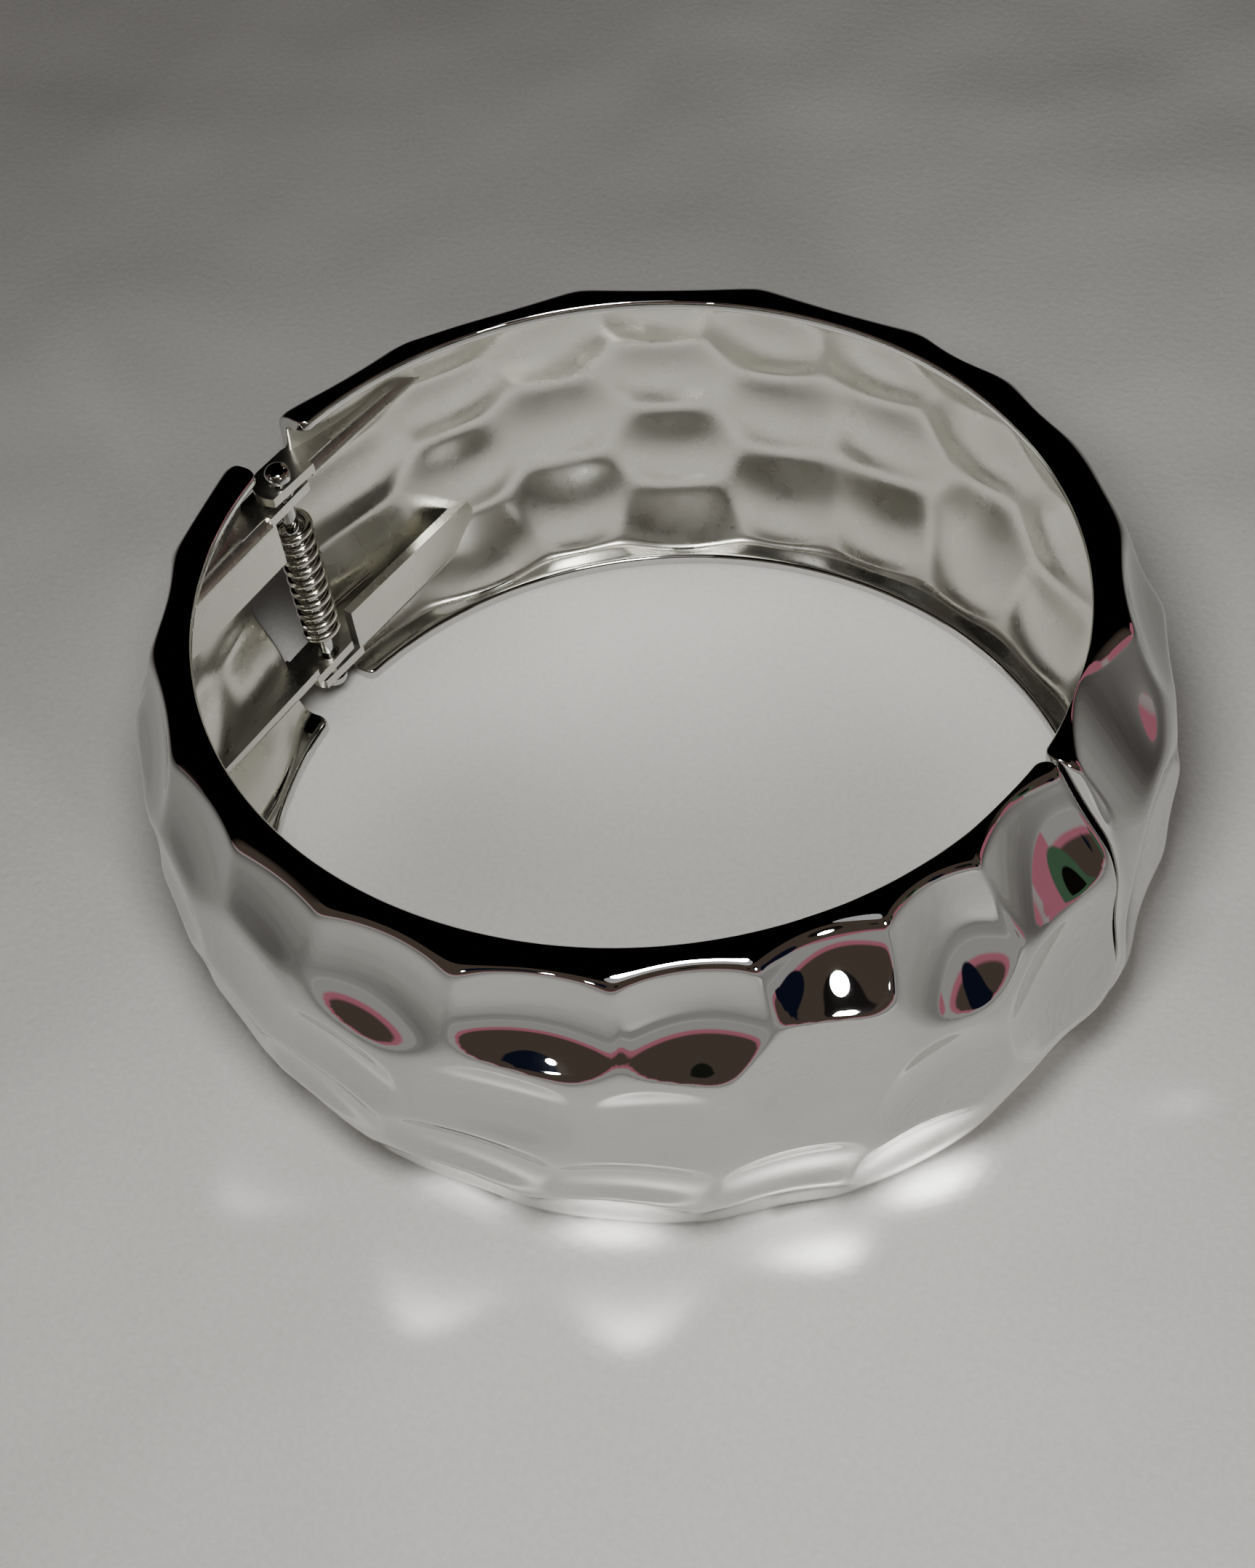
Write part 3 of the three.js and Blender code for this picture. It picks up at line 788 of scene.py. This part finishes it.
def painted_caustic_light(lamp, face, height_range, blur):
    """Painted light: the light that one face of the band would throw on the floor, at each point
    of the floor's grid, worked out here and painted into the floor as a glow.

    Each small patch of the face sends the lamp's light on as a mirror would; where the beams
    crowd together the floor is bright. The outer face throws less from higher up, and lights only
    the floor outside the band; the inner face lights only the floor inside it. In watts per square
    metre for a lamp of one watt."""
    turns = np.linspace(-179, 179, BEAM_TURNS)[:, None]
    heights = np.linspace(*height_range, BEAM_HEIGHTS)[None, :]
    softness, inwards, sense = (INNER_SOFTNESS, WALL, -1) if face == "inner" else (OUTER_SOFTNESS, 0, 1)
    wall = band_point(turns, outer_offset(turns, heights, softness) - inwards, heights)
    patch = sense * np.cross(np.gradient(wall, axis=0), np.gradient(wall, axis=1))
    area = np.linalg.norm(patch, axis=-1)
    normal = patch / area[..., None]
    beam = np.array(lamp) - wall
    distance = np.linalg.norm(beam, axis=-1)
    beam /= distance[..., None]
    facing = (beam * normal).sum(axis=-1)
    sent = 2 * facing[..., None] * normal - beam
    lit = (facing > GRAZING) & (sent[..., 2] < -GRAZING)
    fade = 1 - np.linspace(0, 1, heights.size) ** 2 if face == "outer" else 1
    power = (PLATE_REFLECTS * fade * facing * area / (math.pi * distance**2))[lit]
    foot = (wall - sent * (wall[..., 2:] / np.minimum(sent[..., 2:], -1e-3)))[lit]
    cell = 2 * FLOOR_GRID_HALF / FLOOR_GRID_CELLS
    place = (foot[:, :2] + FLOOR_GRID_HALF) / cell + 0.5
    edges = np.arange(FLOOR_GRID_CELLS + 2)
    light, _, _ = np.histogram2d(place[:, 0], place[:, 1], bins=(edges, edges), weights=power)
    reach = math.ceil(3 * blur / cell)
    spread = np.exp(-(np.arange(-reach, reach + 1) * cell / blur) ** 2 / 2)
    spread /= spread.sum()
    for axis in (0, 1):
        light = np.apply_along_axis(np.convolve, axis, light, spread, "same")
    ring = band_point(turns, outer_offset(turns, 0 * turns) - inwards, 0 * turns)[:, 0]
    line = np.linspace(-FLOOR_GRID_HALF, FLOOR_GRID_HALF, FLOOR_GRID_CELLS + 1)
    x, y = np.meshgrid(line, line, indexing="ij")
    ring_reach = np.interp(np.arctan2(y, x), np.arctan2(ring[:, 1], ring[:, 0]),
                           np.hypot(ring[:, 0], ring[:, 1]), period=math.tau)
    within = np.hypot(x, y) < ring_reach
    light *= within if face == "inner" else ~within
    return np.pad(light / cell**2, 2).reshape(-1)


def painted_floor_light(mesh):
    """Painted light on each point of the floor: the light that the lamps don't give it themselves."""
    low, high = RIM_THICKNESS, HEIGHT - RIM_THICKNESS
    streaks = painted_caustic_light(KEY_PLACE, "outer", (low, BEAM_REACH), BEAM_BLUR)
    pool = painted_caustic_light(KEY_PLACE, "inner", (low, high), POOL_BLUR)
    streaks = np.minimum(streaks**2 / STREAK_KNEE, STREAK_TOP)
    painted_light = KEY_POWER * (STREAK_GAIN * streaks + POOL_GAIN * pool)
    plan = np.array([vertex.co[:2] for vertex in mesh.vertices])
    glow = np.interp(np.abs(plan).max(axis=1), list(PAINTED_FRONT_GLOW), list(PAINTED_FRONT_GLOW.values()))
    in_front = plan @ np.array(direction_of(FRONT, 0))[:2] / np.linalg.norm(plan + 1e-9, axis=1)
    return painted_light + glow * np.clip(in_front + PAINTED_GLOW_BEHIND, 0, 1)


def pale_table():
    """A matt pale cloth with faint waves and weave, which glows with the painted light laid on its points."""
    material, tree, shader = new_material("pale_table")
    shader.inputs["Roughness"].default_value = 0.85
    shader.inputs["Specular IOR Level"].default_value = 0.25
    weave = object_noise(tree, 2200, 2, 0.65)
    shade = add_node(tree, "ShaderNodeMix", data_type="RGBA")
    for socket, share in (("A", 1 - FLOOR_TINT), ("B", 1 + FLOOR_TINT)):
        shade.inputs[socket].default_value = (*[share * value for value in FLOOR_COLOUR], 1)
    tree.links.new(mapped(tree, weave.outputs["Fac"], 0, 1, 0.3, 0.7), shade.inputs["Factor"])
    tree.links.new(shade.outputs["Result"], shader.inputs["Base Color"])
    waves = bump(tree, object_noise(tree, 22, 2), 1, FLOOR_WAVE)
    grain = bump(tree, object_noise(tree, 1500, 1), 0.35, FLOOR_GRAIN, waves)
    tree.links.new(grain, shader.inputs["Normal"])
    # Painted light: the floor glows with the light stored on its points, as the cloth would give back
    # reflected light
    painted_light = add_node(tree, "ShaderNodeAttribute", attribute_name="painted_light")
    painted_emission = mapped(tree, painted_light.outputs["Fac"], 0, FLOOR_COLOUR[0] / math.pi, clamp=False)
    shader.inputs["Emission Color"].default_value = (1, 0.985, 0.95, 1)
    tree.links.new(painted_emission, shader.inputs["Emission Strength"])
    return material


def lay_floor():
    mesh = floor_mesh()
    # Stores the painted light on the floor's points
    painted_light = mesh.attributes.new("painted_light", "FLOAT", "POINT")
    painted_light.data.foreach_set("value", painted_floor_light(mesh).astype(np.float32))
    floor = add_object("floor", mesh)
    floor.data.materials.append(pale_table())


def area_light(name, place, target, size, power, colour):
    """A round lamp in metres and watts that faces a target."""
    data = bpy.data.lights.new(name, "AREA")
    data.shape = "DISK"
    data.size = size
    data.energy = power
    data.color = colour
    lamp = bpy.data.objects.new(name, data)
    lamp.location = place
    lamp.rotation_mode = "QUATERNION"
    lamp.rotation_quaternion = (Vector(place) - Vector(target)).to_track_quat("Z", "Y")
    bpy.context.scene.collection.objects.link(lamp)


def cap_mask(tree, direction, within, beyond):
    """1 within so many degrees of a direction of the surroundings, falling to 0 beyond."""
    place = add_node(tree, "ShaderNodeTexCoord")
    dot = add_node(tree, "ShaderNodeVectorMath", operation="DOT_PRODUCT")
    tree.links.new(place.outputs["Generated"], dot.inputs[0])
    dot.inputs[1].default_value = direction
    limits = (math.cos(math.radians(beyond)), math.cos(math.radians(within)))
    return mapped(tree, dot.outputs["Value"], 0, 1, *limits)


def paint(tree, under, colour, mask):
    """Lays a colour over another where the mask is 1."""
    mix = add_node(tree, "ShaderNodeMix", data_type="RGBA")
    tree.links.new(mask, mix.inputs["Factor"])
    tree.links.new(under, mix.inputs["A"])
    mix.inputs["B"].default_value = (*colour, 1)
    return mix.outputs["Result"]


# The surroundings that the plate mirrors
ROOM_DARK = (0.0015, 0.0014, 0.0014)
ROOM_BROWN = (0.08, 0.06, 0.048)
ROOM_PINK = (0.42, 0.14, 0.19)
ROOM_PALE = (0.36, 0.357, 0.348)
ROOM_BANDS = ((ROOM_BROWN, 0.7), (ROOM_PINK, 0.085), (ROOM_PALE, 0.05))  # up to a height, of 1
ROOM_BAND_BLUR = 0.008
ROOM_PATCHES = (
    # direction in degrees round and up, radius in degrees, colour
    ((22, 0), 10, ROOM_PINK),
    ((50, 0), 16, ROOM_PINK),
    ((-55, 21), 4.5, (0.012, 0.014, 0.010)),
    ((-82, 22), 6.5, (0.006, 0.008, 0.02)),
    ((-30, 22), 9, (0.012, 0.010, 0.010)),
    ((-8, 9), 7, (0.006, 0.008, 0.02)),
    ((14, 10), 8, (0.06, 0.12, 0.07)),
    ((13, 12), 4.5, (0.006, 0.005, 0.004)),
)


def dim_room():
    """Surroundings: the table's pale cloth, a dusty pink one, then brown, and black overhead."""
    world = bpy.data.worlds.new("room")
    bpy.context.scene.world = world
    world.use_nodes = True
    tree = world.node_tree
    place = add_node(tree, "ShaderNodeTexCoord")
    split = add_node(tree, "ShaderNodeSeparateXYZ")
    tree.links.new(place.outputs["Generated"], split.inputs[0])
    height = split.outputs["Z"]
    shade = add_node(tree, "ShaderNodeRGB")
    shade.outputs[0].default_value = (*ROOM_DARK, 1)
    colour = shade.outputs[0]
    in_front = cap_mask(tree, direction_of(FRONT, 0), 85, 100)
    for tint, top in ROOM_BANDS:
        below = mapped(tree, height, 1, 0, top - ROOM_BAND_BLUR, top + ROOM_BAND_BLUR)
        both = add_node(tree, "ShaderNodeMath", operation="MULTIPLY")
        tree.links.new(below, both.inputs[0])
        tree.links.new(in_front, both.inputs[1])
        colour = paint(tree, colour, tint, both.outputs[0])
    for direction, within, tint in ROOM_PATCHES:
        colour = paint(tree, colour, tint, cap_mask(tree, direction_of(*direction), within * 0.9, within))
    tree.links.new(colour, tree.nodes["Background"].inputs["Color"])


WARM, COOL = (1, 0.99, 0.96), (0.96, 0.98, 1)


def light_scene():
    dim_room()
    area_light("key", KEY_PLACE, (0, 0, 0), KEY_DISC, KEY_POWER, WARM)
    area_light("low_right", direction_of(-31, 21) * 0.25, (0, 0, 0.01), 0.03, 0.14, WARM)
    area_light("low_left", direction_of(-84, 21) * 0.25, (0, 0, 0.01), 0.007, 0.02, WARM)
    area_light("sky", direction_of(FRONT, 52) * 0.55, (0.1, -0.14, 0), 0.3, 0.12, COOL)


# ---- the bangle ---------------------------------------------------------------------------

place_camera()
light_scene()
lay_floor()

back_shell = half_shell("back_shell", 1, "back_half")
front_shell = half_shell("front_shell", -1, "front_half")
back_bracket = bracket("back_bracket", 1, BACK_BRACKET)
front_bracket = bracket("front_bracket", -1, FRONT_BRACKET)
for piece in (back_shell, back_bracket):
    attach(piece, "back")
for piece in (front_shell, front_bracket):
    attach(piece, "front")

rivet = add_object("rivet_pin", pin_mesh())
rivet.data.materials.append(bright_plate())
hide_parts("hinge_pin")
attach(rivet, "back")

coil = add_object("spring_coil", spring_coil())
leg = add_object("spring_front_leg", spring_leg())
for piece, body in ((coil, "back"), (leg, "front")):
    piece.data.materials.append(spring_steel())
    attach(piece, body)
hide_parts("hinge_spring")
